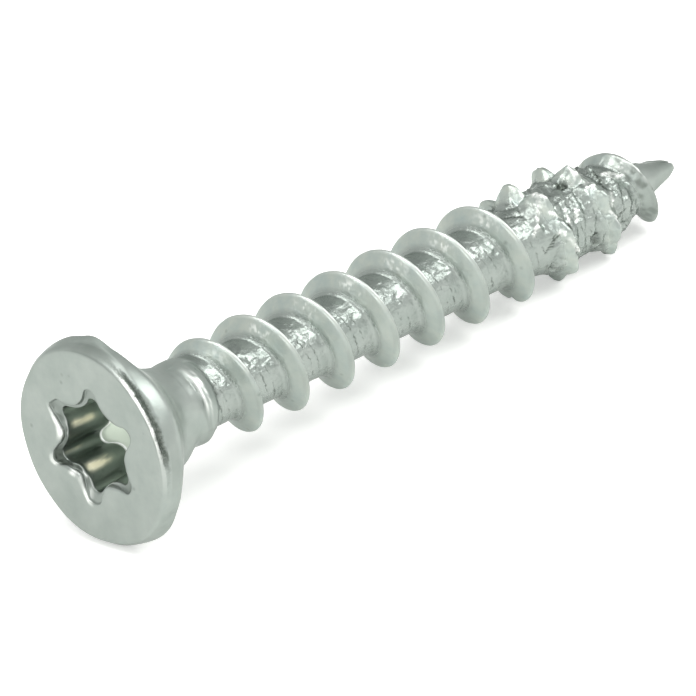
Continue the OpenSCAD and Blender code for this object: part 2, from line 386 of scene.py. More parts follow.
def ring(flat, x, **values):
    """A ring of the head: its points, at the depth x, and all its marks."""
    points = np.concatenate([(x + np.zeros(COLS))[:, None], flat], axis=1)
    return points, {name: values.get(name, plain) + np.zeros(COLS) for name, plain in PLAIN.items()}


def floor_depth(r):
    """The floor of the recess is a cone: deepest on the axis, FLOOR_AT_LOBES at the lobe ends."""
    return FLOOR_POINT - (FLOOR_POINT - FLOOR_AT_LOBES) * r / (DRIVE_ACROSS / 2)


def ledge_depth(r):
    """The step round the mouth is a flat cone, LEDGE_DEPTH deep at its lobe ends."""
    return LEDGE_DEPTH + (MOUTH_ACROSS / 2 - r) * LEDGE_SLOPE


def recess_rings(deep, drafted):
    """Rings of the drive: the cone of its floor, a quarter round at its foot, and walls that
    widen from the deep outline to the drafted one. The floor and its foot are painted paler to
    lift the shade in the recess, and a highlight is painted along the foot. A highlight is also
    painted in a streak down two flutes and a lobe."""
    foot = inset(deep, FLOOR_FILLET)
    # the floor, painted paler to lift the shade in the recess
    rings = [ring(foot * k, floor_depth(size(foot * k)), recess=1) for k in np.linspace(0.12, 1, 9)]
    low, high = floor_depth(size(foot)) - FLOOR_FILLET, ledge_depth(size(drafted)) + 0.02
    for a in radians(90) * np.array([0.3, 0.6, 0.85]):
        flat = inset(deep, FLOOR_FILLET * (1 - sin(a)))
        # its foot, painted pale too, with a highlight painted along it
        rings.append(ring(flat, low + FLOOR_FILLET * cos(a), recess=0.8, edge=1.0))
    for k in (0.0, 0.1, 0.2, 0.3, 0.4, 0.5, 0.6, 0.7, 0.8, 0.88, 0.94, 0.97):
        flat = deep * (1 - k) + drafted * k
        p = with_third(flat, WALL_HEIGHT * (1 - k))
        # a highlight painted in streaks down two flutes, and fainter down a lobe
        streak = (span(k, 0.25, 0.45, 0.8, 0.95) * hills(way(flat), ((246, 12, 1), (313, 9, 0.7)))
                  + 0.5 * hill(k, 0.7, 0.35) * around(way(flat), 277, 3))
        lines = grain(p * np.array([1, 1, 0.3]), 0.13, 9)
        streak = np.clip(streak * (1.15 + 0.6 * grain(p, 0.3, 9) + 0.9 * lines), 0, 1)
        flat = flat * (1 + 0.008 * grain(p, 0.5, 10))[:, None]
        rings.append(ring(flat, low + (high - low) * k, walls=1 - streak, streak=streak))
    return rings


def bevel_width(mouth):
    """Width of the bevel round the mouth: broad and ragged on the far side."""
    far_side = around(way(mouth), 278, 95)
    return 0.05 + 0.13 * far_side + 0.04 * far_side * grain(with_third(mouth, 3.0), 0.3, 7)


def ledge_rings(drafted, mouth):
    """Rings of the step round the mouth, of its low wall and of a quarter round up to the face.
    On the far side the step is rough. Shade is painted over the step, patchy and deepest on
    the far side and at two places round the mouth, except in patches where highlights are
    painted instead. Shade is painted at the foot of the low wall, and highlights on the bevel."""
    rings = []
    far_side = around(way(mouth), 278, 95)
    painted_highlight = hills(way(mouth), BEVEL_HIGHLIGHTS) * (1 + 0.7 * grain(with_third(mouth, 3.0), 0.2, 6))
    painted_highlight = np.clip(painted_highlight, 0, 1)
    for k in (0.04, 0.14, 0.34, 0.6, 0.84, 0.96):
        flat = drafted * (1 - k) + inset(mouth, 0.03) * k
        p = with_third(flat, 7.0)
        flat = flat * (1 + 0.02 * far_side * hill(k, 0.5, 0.5) * grain(p, 0.15, 41))[:, None]
        # shade painted over the step: patchy, deepest on the far side and at two places round the mouth, and
        # left out in patches near 240 degrees, where highlights are painted instead
        blotch = ramp(grain(p, 0.3, 5), -0.4, 0.4)
        torn = 1.5 * ramp(grain(p, 0.24, 8), 0.15, 0.5) * around(way(mouth), 240, 26) * (0.1 < k < 0.9)
        torn = np.clip(torn, 0, 1)
        black = around(way(mouth), 272, 26)
        black = black + 0.6 * around(way(mouth), 155, 22) * ramp(size(flat), 2.1, 2.6)
        dark = np.clip(0.25 + black + (0.25 + 0.5 * blotch) * far_side, 0, 1.25) * (1 - torn)
        rough = far_side * (0.09 * blotch + 0.04 * grain(p, 0.14, 42))
        painted_light_share = np.maximum(0.8 * torn, 0.5 * painted_highlight * (k < 0.1))
        rings.append(ring(flat, ledge_depth(size(flat)) + rough, edge=painted_light_share, pit=dark))
    low = ledge_depth(size(mouth))
    # shade painted at the foot of the low wall, and highlights painted on the bevel above it
    rings.append(ring(inset(mouth, 0.015), low * 0.85, pit=0.4 + 0.5 * far_side))
    rings.append(ring(mouth, low * 0.7, pit=0.3 + 0.2 * far_side * (1 - painted_highlight), edge=0.4 * painted_highlight))
    for a in radians(90) * np.array([0.1, 0.35, 0.6, 0.9]):
        flat = inset(mouth, -bevel_width(mouth) * (1 - cos(a)))
        rings.append(ring(flat, low * 0.62 * (1 - sin(a)), edge=painted_highlight))
    return rings


def face_rings(mouth):
    """Rings of the plain face, blended from the bevel's outline to the edge, a little uneven."""
    rings = []
    start = inset(mouth, -0.02 - bevel_width(mouth))
    end = circle * (FACE_R - 0.05 * near_side + face_out)[:, None]
    for k in np.linspace(0, 1, 15)[1:]:
        flat = start * (1 - k) + end * k
        p = with_third(flat, 0)
        dip = ease(size(flat), 2.6, 3.4) * (0.02 * grain(p, 2.2, 11) + 0.006 * grain(p, 0.7, 12))
        rings.append(ring(flat, dip * (1 - 0.7 * k)))
    return rings


def edge_rings():
    """Rings of the edge of the face, blended from the far outline to the near one, which is
    ragged, has highlights painted on it and ends in the parting line, painted dark as shade in
    its fold. Shade is painted on the upper side."""
    rings = []
    # the near side, where the parting line is painted dark as shade
    split = np.minimum(1, 1.7 * around(column_angle, 88, 54))
    for (far_x, far_r), (near_x, near_r) in zip(FAR_EDGE, NEAR_EDGE):
        far_x = far_x * (1 + 0.9 * soft_side)
        x = far_x * (1 - near_side) + near_x * near_side
        r = far_r * (1 - near_side) + near_r * near_side + face_out * (1 - ease(far_x, 0.15, 0.33))
        p = with_third(circle * EDGE_R, x)
        x = x + 0.02 * near_side * grain(p, 0.4, 15)
        r = r + 0.07 * near_side * ramp(x, 0.08, 0.2) * grain(p, 0.22, 16)
        # highlights painted on the near bevel, and a faint one lower down
        painted_light_share = np.clip(around(column_angle, 86, 36) * (1.1 + grain(p, 0.3, 14)), 0, 1)
        painted_light_share = (painted_light_share + 0.12 * around(column_angle, 122, 18)) * (0.02 < near_x < 0.15)
        rings.append(ring(circle * r[:, None], x, crease=x - PARTING_X + 0.05 * grain(p, 0.3, 13),
                          crease_on=split, parting=split, edge=painted_light_share, pit=0.35 * upper_painted_shade,
                          dull=upper_side))
    return rings


def rim_rings():
    """Rings of the rim, the straight cone and the first part of the hollow sweep, which starts
    at 45 degrees. They are blended from the far outline to the near one."""
    rings = []
    sweep_r = NECK_R + FLARE_R * (1 - cos(radians(45)))
    sweep_x = NECK_X - FLARE_R * sin(radians(45))
    rim_x, rim_r = FAR_RIM[-1]
    cone = [(rim_x + k * (sweep_x - rim_x), rim_r + k * (sweep_r - rim_r)) for k in np.linspace(0, 1, 13)[1:]]
    sweep = [(x, neck_profile(x)) for x in [*np.arange(sweep_x, HEAD_END_X, 0.1)[1:], HEAD_END_X]]
    far_outline = FAR_RIM + cone + sweep
    near_outline = NEAR_RIM + far_outline[len(NEAR_RIM):]
    fuller = around(column_angle, 86, 62)
    # shade painted on the rim, above and low on the near side, fading out from 0.8 to 1.2 mm behind the face
    rim_painted_shade = 0.15 * upper_painted_shade + 0.25 * around(column_angle, 118, 26)
    for (far_x, far_r), (near_x, near_r) in zip(far_outline, near_outline):
        far_x = far_x + 0.3 * soft_side * (1 - ease(far_x, 0.33, 1.1))
        x = far_x * (1 - fuller) + near_x * fuller
        r = far_r * (1 - fuller) + near_r * fuller
        p = with_third(circle * r[:, None], x)
        r = r + uneven_head(column_angle, x) * ease(x, 0.2, 0.6)
        r = r + 0.012 * grain(p, 0.6, 17) + 0.004 * grain(p, 0.25, 18)
        # the near side of the sweep takes the flanks' tint, painted paler to lift its shade
        rings.append(ring(circle * r[:, None], x, crease=np.minimum(x - 0.33, 0.6),
                          pit=rim_painted_shade * (1 - ease(x, 0.8, 1.2)), flank=0.5 * ease(x, 1.25, 1.5) * fuller,
                          dull=upper_side * (1 - ease(x, 1.0, 1.6))))
    return rings


def head_rows():
    """Rows of the head as (columns, rows, 3), and their marks. The mouth is a six-lobe outline
    worn out of true, with a ragged edge."""
    deep = six_lobe(DRIVE_ACROSS, DRIVE_FLUTES, DRIVE_LOBE_R)
    drafted = six_lobe(DRAFTED_ACROSS, DRAFTED_FLUTES, DRAFTED_LOBE_R)
    drafted = drafted * (1 + hills(way(drafted), WORN_WALLS))[:, None]
    mouth = six_lobe(MOUTH_ACROSS, MOUTH_FLUTES, MOUTH_LOBE_R)
    p = with_third(mouth, 40.0)
    ragged = (1 + 1.5 * around(way(mouth), 275, 80)) * (0.012 * grain(p, 0.5, 3) + 0.008 * grain(p, 0.25, 4))
    mouth = mouth * (1 + hills(way(mouth), WORN_MOUTH) + ragged)[:, None]
    rings = (recess_rings(deep, drafted) + ledge_rings(drafted, mouth) + face_rings(mouth)
             + edge_rings() + rim_rings())
    rows = np.stack([points for points, values in rings], axis=1)
    return rows, {name: np.stack([values[name] for points, values in rings], axis=1) for name in PLAIN}


# The thread in rows: a grid that follows the helix, its rows at these offsets from the crest
ROW_OFFSET = np.array([
    -0.95, -0.82, -0.71, -0.62, -0.54, -0.47, -0.41, -0.36, -0.31, -0.26, -0.21, -0.16, -0.115, -0.075,
    -0.035, 0.0, 0.035, 0.075, 0.115, 0.17, 0.24, 0.31, 0.38, 0.47, 0.57, 0.68, 0.79, 0.9, 1.0, 1.1, 1.2,
    1.3, 1.4, 1.51, 1.63])
ROWS = len(ROW_OFFSET)
LAST_ROWS = 24

# Strokes on the torn part, highlights painted on planes and shade painted in folds: angle and
# place of the middle, half length round the axis in degrees, how far the stroke runs along the
# axis over that half, and its half width
PAINTED_HIGHLIGHT_STROKES = [
    (77, 25.55, 20, -0.46, 0.13), (127, 26.85, 17, 0.42, 0.2), (92, 27.62, 11, -0.14, 0.08),
    (82, 26.38, 9, 0.38, 0.1), (66, 28.95, 8, 0.0, 0.32), (121, 29.48, 17, 0.3, 0.13),
    (93, 29.73, 11, -0.13, 0.11), (54, 26.22, 11, 0.1, 0.28), (91, 27.1, 14, -0.05, 0.08),
    (58, 30.6, 12, 0.3, 0.4), (76, 29.3, 12, 0.1, 0.12), (40, 28.75, 9, 0.0, 0.2), (104, 26.2, 5, 0.0, 0.12)]
SHADED_FOLD_STROKES = [
    (116, 25.74, 14, -0.32, 0.05), (113, 25.92, 10, -0.24, 0.04), (128, 30.2, 9, -0.25, 0.06),
    (123, 29.95, 7, -0.2, 0.05), (47, 24.78, 12, 0.55, 0.06), (100, 26.9, 9, 0.1, 0.07),
    (62, 29.75, 22, -0.1, 0.08)]
# Spots, a hole, a gash and slits, each painted dark as shade in it: angle and place of the
# middle, half widths in degrees and millimetres
HOLE = 42, 28.0, 11, 0.3
GASH = 144, 28.45, 14, 0.32
SLITS = [(112, 26.8, 9, 0.13), (96, 6.13, 16, 0.06)]
# Lumps and a dent: the same, and the height
LUMPS = [(203, 24.56, 8, 0.5, -0.15), (331, 25.5, 12, 0.35, 0.16), (0, 28.45, 9, 0.45, 0.13)]


def neck_ridge(angle, x, t):
    """The double ridge round the near side of the blank, where the die first bit, and the
    hollow in front of it: how far they raise the skin, and a highlight painted along the ridge."""
    beside = around(angle, 84, 48) * (t < 1.7)
    ridge = ease(x, 4.93, 5.03) * (1 - 0.7 * hill(x, 5.21, 0.07)) * (1 - ease(x, 5.36, 5.7))
    hollow = ramp(x, 4.35, 4.93) * (1 - ease(x, 4.93, 5.03))
    rise = (0.035 * ridge - 0.085 * hollow) * np.minimum(1, 1.5 * beside)
    # the second value is the highlight painted along both ridges
    return rise, np.maximum(hill(x, 5.09, 0.13), 0.8 * hill(x, 5.32, 0.07)) * beside


def crumple(angle, t, p, share, bare, toothed, torn):
    """How the metal is crumpled: a fine grain all over, random planes between the turns on the
    near side, folds and larger planes between the teeth, and small planes on the last turn."""
    near = 0.14 + 0.86 * around(angle, 78, 50)
    worn = span(t, FIRST_TOOTH - 0.1, FIRST_TOOTH + 0.5, 11.3, 11.8)
    folds = toothed * (0.018 * bare * torn + 0.045 * creased(p, 0.75, 31))
    planes = 0.16 * bare * near * facets(p, 0.32, 51)
    planes = planes + 0.22 * toothed * (1 - 0.6 * share) * facets(p, 0.85, 61)
    small = 0.11 * (worn - toothed) * (1 - 0.8 * share) * facets(p, 0.35, 65)
    return 0.008 * grain(p, 0.4, 23) + folds + planes + small


def damage(angle, x, p, torn):
    """Single blemishes: a hole, a gash, two slits, folds, planes of torn metal, and lumps. Shade
    is painted dark in the hole, the gash, the slits and the folds, and highlights on the planes.
    Returns how far they raise the skin, and how much shade and highlight are painted."""
    hole = blot(angle, x, *HOLE)
    gash = blot(angle, x, *GASH) * (0.45 + 0.55 * ramp(torn, -0.4, 0.5))
    slit = np.maximum(*(blot(angle, x, *spot) for spot in SLITS))
    folds = strokes(angle, x, SHADED_FOLD_STROKES)
    painted_highlight = strokes(angle, x, PAINTED_HIGHLIGHT_STROKES) * (0.15 + 0.85 * ramp(grain(p, 0.13, 71), -0.25, 0.2))
    lumps = sum(height * blot(angle, x, *spot) for *spot, height in LUMPS)
    rise = lumps + 0.05 * painted_highlight - 0.3 * ease(hole, 0, 1) - 0.16 * gash - 0.08 * slit - 0.06 * folds
    return rise, np.maximum(np.maximum(ease(hole, 0, 0.5), gash), np.maximum(slit, folds)), painted_highlight


def thread_rows():
    """Rows of the thread as (columns, rows, 3), and their marks. Column c and row m stand at
    turn t = FIRST_TURN + c / COLS + whole turns, at crest_x(t) plus the row's offset, and their
    radius is core + share of the crest height, less the notch."""
    m = np.arange((TURNS - 1) * ROWS + LAST_ROWS)
    offset = ROW_OFFSET[m % ROWS][None, :]
    t = FIRST_TURN + column[:, None] / COLS + (m // ROWS)[None, :]
    x = crest_x(t) + offset
    angle = 2 * pi * t
    behind = np.where(offset > 0, offset, offset + PITCH)
    toothed = span(t, FIRST_TOOTH - 0.1, FIRST_TOOTH + 0.5, LAST_TOOTH + 0.1, LAST_TOOTH + 0.5)
    core = core_radius(x, np.where(offset > 0, t, t - 1), behind) + 0.13 * tooth_relief(t, offset)
    height = np.maximum(0, crest_line(t) - notch(t) - core)
    # the crest is broader where it runs out, and a tooth has a broad foot
    share = flank_line(offset) ** (1 - 0.6 * ease(t, 11.6, 11.9))
    share = np.maximum(share, 0.4 * toothed * np.clip(1 - np.abs(offset) / 0.9, 0, 1))
    r = core + share * height
    p = on_axis(angle, x, r)
    rolled = span(x, 5.6, 6.6, 33, 34.4)
    bare = (1 - ease(share, 0.05, 0.5)) * rolled
    torn = creased(p, 0.34, 21)
    ridge, ridge_highlight = neck_ridge(angle, x, t)
    rise, dark, painted_highlight = damage(angle, x, p, torn)
    # dark specks on the last turn, and highlights painted in specks on the upper flanks
    last = hill(t, 11.27, 0.32) * ease(share, 0.03, 0.25) * (offset < 0.1)
    specks = last * ramp(grain(p, 0.25, 75), -0.1, 0.35)
    upper = around(angle, 50, 26) * hill(share, 0.62, 0.4) * (offset < 0) * ease(t, 1.9, 2.4)
    painted_light_share = 0.75 * upper * ramp(grain(p, 0.11, 73), 0.1, 0.45)
    # a highlight painted along the crests on the upper side, shade painted on the crests underneath, and the
    # flanks' tint painted paler all round, most on the upper side, to lift the shade the turns cast on each
    # other
    crest_highlight = ease(share, 0.9, 0.97) * ease(t, 1.6, 2.0) * (1 - toothed) * around(angle, 52, 72)
    shade_under_crests = ease(share, 0.75, 0.95) * (1 - toothed) * around(angle, 125, 40)
    painted_lift_round_axis = 0.45 + hills(angle, ((5, 140, 0.55), (165, 40, 0.35)))
    r = r + ridge + crumple(angle, t, p, share, bare, toothed, torn) + uneven_head(angle, x)
    r = r + rise - 0.05 * specks * (1 - ease(share, 0.75, 1.0))
    # the marks: the flanks' painted lift, painted highlights, pits with shade painted in hollows, in the
    # creased valleys between the teeth and on the crests underneath, and folds painted dark as shade
    marks = {
        "flank": ease(share, 0.1, 0.45) * ease(height, 0.05, 0.2) * painted_lift_round_axis * (1 - ease(t, 10.9, 11.3)),
        "edge": np.maximum(np.maximum(painted_highlight, painted_light_share), np.maximum(ridge_highlight, 0.35 * crest_highlight)),
        "pit": 1.2 * dark + 0.15 * toothed * ramp(-torn, 0.3, 0.6) + 0.65 * specks + 0.25 * shade_under_crests,
        "crease": np.clip(behind - 1.05, -0.6, 0.6),
        "crease_on": (1 - ease(share, 0.02, 0.3)) * ramp(x, 5.2, 5.8) * (1 - ease(x, 30, 31)),
        "torn": rolled * (1 - ease(share, 0.1, 0.6)) + 0.6 * toothed}
    return on_axis(angle, x, r), marks


# The whole screw
def lead_rows(end_x):
    """Rows of the neck, evenly spaced from the last ring of the head to the thread at end_x."""
    angle = column_angle[:, None]
    k = (np.arange(LEAD_ROWS) + 1) / (LEAD_ROWS + 1)
    x = HEAD_END_X + (end_x - HEAD_END_X) * k
    r = neck_profile(x)
    return on_axis(angle, x, r + uneven_head(angle, x) + 0.006 * grain(on_axis(angle, x, r), 0.5, 23))


def tail_rows(start_x):
    """Rows of the cone from the thread at start_x to the point, evenly spaced and a little
    uneven between, then two rows of the rounded tip."""
    angle = column_angle[:, None]
    k = (np.arange(TAIL_ROWS) + 1) / TAIL_ROWS
    x = start_x + (LENGTH - TIP_ROUND - start_x) * k
    r = core_line(x)
    cone = on_axis(angle, x, r + 0.12 * k * (1 - k) * grain(on_axis(angle, x, r), 0.35, 24))
    cap = radians(30) * np.array([[1, 2]])
    tip = on_axis(angle, LENGTH - TIP_ROUND * (1 - np.sin(cap)), TIP_R * np.cos(cap))
    return np.concatenate([cone, tip], axis=1)


def strip(a, b):
    """Quads between two chains of vertices of one length."""
    return np.stack([a[:-1], a[1:], b[1:], b[:-1]], axis=1)


def zipper(a, b):
    """Triangles between two chains of unlike length, which take turns by their share run."""
    steps = [(np.arange(len(chain) - 1) + 0.5) / (len(chain) - 1) for chain in (a, b)]
    order = np.argsort(np.concatenate(steps), kind="stable")
    of_a = order < len(a) - 1
    i, j = np.cumsum(of_a) - of_a, np.cumsum(~of_a) - ~of_a
    return np.where(of_a[:, None], np.stack([a[i], a[np.minimum(i + 1, len(a) - 1)], b[j]], axis=1),
                    np.stack([a[i], b[np.minimum(j + 1, len(b) - 1)], b[j]], axis=1))


def skin_faces(n_head, n_thread, n_all):
    """Quads and triangles of the skin. Column c and row m is vertex c * n_all + m, and the two
    apexes come last. Quads join each column to the next. At the seam the last column meets the
    first one a turn further on: its head joins row for row, its thread one turn of rows later,
    and triangles take up the rows between and close both ends in a fan."""
    index = np.arange(COLS * n_all).reshape(COLS, n_all)
    first, final = index[0], index[-1]
    start, end = n_head + LEAD_ROWS, n_head + LEAD_ROWS + n_thread - 1
    quads = np.concatenate([
        np.stack([index[:-1, :-1], index[:-1, 1:], index[1:, 1:], index[1:, :-1]], axis=-1).reshape(-1, 4),
        strip(final[:n_head], first[:n_head]),
        strip(final[start:end - ROWS + 1], first[start + ROWS:end + 1]),
        strip(final[end + TAIL_ROWS:], first[end + TAIL_ROWS:])])
    n = index.size
    ahead = np.roll(index, -1, axis=0)
    triangles = np.concatenate([
        zipper(final[n_head - 1:start + 1], first[n_head - 1:start + ROWS + 1]),
        zipper(final[end - ROWS:end + TAIL_ROWS + 1], first[end:end + TAIL_ROWS + 1]),
        np.stack([np.full(COLS, n), index[:, 0], ahead[:, 0]], axis=1),
        np.stack([index[:, -1], np.full(COLS, n + 1), ahead[:, -1]], axis=1)])
    return quads, triangles


def build_screw():
    """The whole screw as one closed skin: head rows, plain rows up to the first turn, thread
    rows, plain rows to the point, and the apexes of the recess floor and of the tip."""
    head, head_marks = head_rows()
    thread, thread_marks = thread_rows()
    points = np.concatenate([head, lead_rows(thread[:, :1, 0]), thread, tail_rows(thread[:, -1:, 0])], axis=1)
    x = points[:, :, 0]
    n_head, n_thread = head.shape[1], thread.shape[1]
    start = n_head + LEAD_ROWS
    marks = {}
    for name, value in PLAIN.items():
        marks[name] = np.full(x.shape, value)
        marks[name][:, :n_head] = head_marks[name]
        marks[name][:, start:start + n_thread] = thread_marks.get(name, value)
    # darker towards the point from 32.6 mm on
    marks["pit"] += 0.15 * ease(x, 32.6, 33.2)
    neck = 0.9 * around(column_angle, 25, 60)[:, None] * span(x, 2, 3, 5.6, 6.1)
    marks["dull"] = np.maximum(marks["dull"], neck)
    at_apex = PLAIN | {"recess": 1.0}
    marks = {name: np.append(grid.ravel(), [at_apex[name], PLAIN[name]]) for name, grid in marks.items()}
    apexes = [[FLOOR_POINT, 0, 0], on_axis(0.0, LENGTH, 0.0)]
    return (np.concatenate([points.reshape(-1, 3), apexes]), *skin_faces(n_head, n_thread, x.shape[1]), marks)


def to_frame(p):
    """From the screw's own axis to the resting pose, in metres: roll, tilt, lift and shift."""
    y = p[:, 1] * cos(ROLL) - p[:, 2] * sin(ROLL)
    z = p[:, 1] * sin(ROLL) + p[:, 2] * cos(ROLL)
    x = p[:, 0] * cos(TILT) + z * sin(TILT) - MID
    return MM * np.stack([x, y, z * cos(TILT) - p[:, 0] * sin(TILT) + LIFT], axis=1)


def make_mesh(name, points, quads, triangles, marks):
    """A smooth mesh object from whole arrays, its faces turned outward by the sign of its volume."""
    loops = np.concatenate([quads.ravel(), triangles.ravel()])
    corners = np.concatenate([np.full(len(quads), 4), np.full(len(triangles), 3)])
    tri = np.concatenate([quads[:, [0, 1, 2]], quads[:, [0, 2, 3]], triangles])
    a, b, c = points[tri[:, 0]], points[tri[:, 1]], points[tri[:, 2]]
    if np.einsum("ij,ij->", a, np.cross(b, c)) < 0:
        loops = np.concatenate([quads[:, ::-1].ravel(), triangles[:, ::-1].ravel()])
    mesh = bpy.data.meshes.new(name)
    mesh.vertices.add(len(points))
    mesh.vertices.foreach_set("co", points.ravel())
    mesh.loops.add(len(loops))
    mesh.loops.foreach_set("vertex_index", loops)
    mesh.polygons.add(len(corners))
    mesh.polygons.foreach_set("loop_start", np.cumsum(corners) - corners)
    mesh.polygons.foreach_set("use_smooth", np.ones(len(corners), bool))
    mesh.update(calc_edges=True)
    mesh.validate()
    for key, values in marks.items():
        mesh.attributes.new(key, "FLOAT", "POINT").data.foreach_set("value", values)
    piece = bpy.data.objects.new(name, mesh)
    bpy.context.collection.objects.link(piece)
    return piece


# Finishes
MATH, MIX = "ShaderNodeMath", "ShaderNodeMix"
NOISE, RANGE = "ShaderNodeTexNoise", "ShaderNodeMapRange"


def linear(code):
    """An sRGB hex colour as linear RGBA."""
    c = np.array([int(code[i:i + 2], 16) / 255 for i in (1, 3, 5)])
    c = np.where(c <= 0.04045, c / 12.92, ((c + 0.055) / 1.055) ** 2.4)
    return (*c, 1.0)


def add(tree, kind, **parts):
    """Adds a node. A part with a small first letter is a setting. i0, i1 and so on, or a name
    with a capital, is an input: it is linked to the output it is given, or set to the value."""
    node = tree.nodes.new(kind)
    for key, value in parts.items():
        if key[1:].isdigit():
            socket = node.inputs[int(key[1:])]
        elif key[0].isupper():
            socket = node.inputs[key.replace("_", " ")]
        else:
            setattr(node, key, value)
            continue
        if isinstance(value, bpy.types.NodeSocket):
            tree.links.new(value, socket)
        else:
            socket.default_value = value
    return node


def zinc_plating():
    """Bright zinc, barrel plated over rolled steel: pale green-grey, soft reflections, finely
    crumpled between the turns where the rolling die pressed the blank."""
    material = bpy.data.materials.new("clear zinc plating on rolled steel")
    material.use_nodes = True
    tree = material.node_tree
    tree.nodes.clear()
    place = add(tree, "ShaderNodeTexCoord").outputs["Object"]
    mark = {name: add(tree, "ShaderNodeAttribute", attribute_name=name).outputs["Fac"] for name in PLAIN}

    # the plating's tint, in cloudy patches about 1.2 mm across
    patches = add(tree, NOISE, Vector=place, Scale=0.8 / MM, Detail=3.0, Roughness=0.6).outputs["Fac"]
    colour = add(tree, MIX, data_type="RGBA", Factor=patches, i6=linear("#87918B"),
                 i7=linear("#A4AAA5")).outputs[2]
    # the flanks' own mottled tint, painted paler than the core to lift the shade between the turns
    mottle = add(tree, NOISE, Vector=place, Scale=1.5 / MM, Detail=3.0, Roughness=0.65).outputs["Fac"]
    flank = add(tree, MIX, data_type="RGBA", Factor=mottle, i6=linear("#98A8A7"),
                i7=linear("#C2C6BA")).outputs[2]
    # dark pits up to 0.27 mm across, about one to 5 square millimetres
    cells = add(tree, "ShaderNodeTexVoronoi", Vector=place, Scale=0.9 / MM).outputs["Distance"]
    pits = add(tree, RANGE, Value=cells, i1=0.0, i2=0.12, i3=0.6, i4=0.0).outputs[0]

    # shade painted dark in the creases where the metal folded over: two ragged lines a little way
    # behind each crest, in broken stretches, and in the parting line round the rim, which is wider
    # and whole
    wander = add(tree, NOISE, Vector=place, Scale=7 / MM, Detail=3.0, Roughness=0.7).outputs["Fac"]
    wander = add(tree, MATH, operation="SUBTRACT", i0=wander, i1=0.5).outputs[0]
    wander = add(tree, MATH, operation="MULTIPLY", i0=wander, i1=0.3).outputs[0]
    at = add(tree, MATH, operation="ADD", i0=mark["crease"], i1=wander).outputs[0]
    second = add(tree, MATH, operation="SUBTRACT", i0=at, i1=0.42).outputs[0]
    away = add(tree, MATH, operation="ABSOLUTE", i0=at).outputs[0]
    second = add(tree, MATH, operation="ABSOLUTE", i0=second).outputs[0]
    away = add(tree, MATH, operation="MINIMUM", i0=away, i1=second).outputs[0]
    broken = add(tree, NOISE, Vector=place, Scale=2.6 / MM, Detail=2.0, Roughness=0.55).outputs["Fac"]
    here = add(tree, RANGE, Value=broken, i1=0.46, i2=0.58, i3=0.0, i4=0.7).outputs[0]
    here = add(tree, MATH, operation="MAXIMUM", i0=here, i1=mark["parting"]).outputs[0]
    width = add(tree, RANGE, Value=mark["parting"], i1=0.0, i2=1.0, i3=0.04, i4=0.17).outputs[0]
    away = add(tree, MATH, operation="DIVIDE", i0=away, i1=width).outputs[0]
    away = add(tree, MATH, operation="MINIMUM", i0=away, i1=1.0).outputs[0]
    fold_shade = add(tree, MATH, operation="SUBTRACT", i0=1.0, i1=away).outputs[0]
    for share in (here, mark["crease_on"]):
        fold_shade = add(tree, MATH, operation="MULTIPLY", i0=fold_shade, i1=share).outputs[0]
    # pits and the shade painted in hollows
    pits_and_shade_share = add(tree, MATH, operation="MULTIPLY", i0=mark["pit"], i1=0.8).outputs[0]
    dark = add(tree, MATH, operation="ADD", i0=fold_shade, i1=pits_and_shade_share).outputs[0]
    dark = add(tree, MATH, operation="MINIMUM", i0=dark, i1=1.0).outputs[0]

    # over the tint: the recess floor painted pale to lift its shade, the flanks' tint painted paler,
    # painted highlights, pale yellow highlights painted in streaks down the flutes of the recess,
    # pits, and painted shade in creases and hollows
    for share, paint in ((mark["recess"], linear("#D2DECE")), (mark["flank"], flank),
                         (mark["edge"], linear("#F2F5F0")), (mark["streak"], linear("#FFFAD8")),
                         (pits, linear("#6A736C")), (dark, linear("#4A514A"))):
        colour = add(tree, MIX, data_type="RGBA", Factor=share, i6=colour, i7=paint).outputs[2]

    # crumpled surface: dents about 0.25 mm across, shallow on the flanks, deeper on the core
    calm = add(tree, RANGE, Value=mark["torn"], i1=0.0, i2=1.0, i3=0.12, i4=1.0).outputs[0]
    painted_light_share = add(tree, MATH, operation="MULTIPLY", i0=mark["flank"], i1=0.4).outputs[0]
    calm = add(tree, MATH, operation="MAXIMUM", i0=calm, i1=painted_light_share).outputs[0]
    dents = add(tree, NOISE, Vector=place, Scale=4.2 / MM, Detail=3.0, Roughness=0.65).outputs["Fac"]
    dents = add(tree, MATH, operation="MULTIPLY", i0=dents, i1=calm).outputs[0]
    groove = add(tree, MATH, operation="MULTIPLY", i0=fold_shade, i1=0.5).outputs[0]
    height = add(tree, MATH, operation="SUBTRACT", i0=dents, i1=groove).outputs[0]
    bump = add(tree, "ShaderNodeBump", Height=height, Strength=0.6, Distance=0.06 * MM).outputs["Normal"]

    # a satin gloss, a little sharper on the crumpled core and softer where the skin is dull
    satin = add(tree, RANGE, Value=mark["torn"], i1=0.0, i2=1.0, i3=0.34, i4=0.26).outputs[0]
    dull = add(tree, MATH, operation="MULTIPLY", i0=mark["dull"], i1=0.3).outputs[0]
    satin = add(tree, MATH, operation="ADD", i0=satin, i1=dull).outputs[0]
    # a metal under a dull skin that scatters some light: least on the walls of the recess, most
    # along the highlight painted in streaks down its flutes
    metal = add(tree, RANGE, Value=mark["walls"], i1=0.0, i2=1.0, i3=0.68, i4=1.0).outputs[0]
    flute_highlight_less_metal = add(tree, MATH, operation="MULTIPLY", i0=mark["streak"], i1=0.75).outputs[0]
    metal = add(tree, MATH, operation="SUBTRACT", i0=metal, i1=flute_highlight_less_metal).outputs[0]
    shader = add(tree, "ShaderNodeBsdfPrincipled", Base_Color=colour, Metallic=metal, Roughness=satin,
                 Normal=bump, Specular_Tint=linear("#D2D6D3"))
    add(tree, "ShaderNodeOutputMaterial", Surface=shader.outputs[0])
    return material


